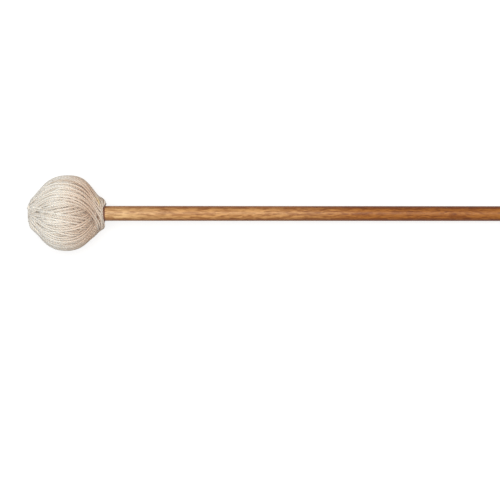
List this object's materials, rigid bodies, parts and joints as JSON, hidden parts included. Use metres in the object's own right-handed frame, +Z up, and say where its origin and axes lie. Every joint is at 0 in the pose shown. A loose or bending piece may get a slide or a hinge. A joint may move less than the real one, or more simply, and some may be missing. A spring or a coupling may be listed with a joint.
{
  "type": "marimba mallet",
  "caption": "Yarn-wound marimba mallet with a long straight birch shaft glued into a round rubber-cored head.",
  "frame": {"origin": "on the table under the middle of the mallet, as it lies at rest on its head and its butt", "axes": "+X along the mallet from the head to the butt, +Y sideways, +Z up from the table"},
  "size_m": [0.4, 0.0452, 0.0452],
  "materials": {
    "birch": "satin varnish over long straight grain",
    "hard_rubber": "moulded, matt",
    "wood_glue": "hardened glue",
    "latex": "stretched natural latex",
    "inner_yarn": "soft spun yarn",
    "collar_glue": "hardened brown glue",
    "outer_yarn": "soft spun cream yarn"
  },
  "bodies": {
    "root": {"shaft": "birch", "core_ball": "hard_rubber", "bore_glue": "wood_glue", "latex_sleeve": "latex", "under_winding": "inner_yarn", "collar_bead": "collar_glue", "outer_winding": "outer_yarn", "crown_stitch": "outer_yarn", "tail_knot": "outer_yarn"}
  },
  "joints": []
}
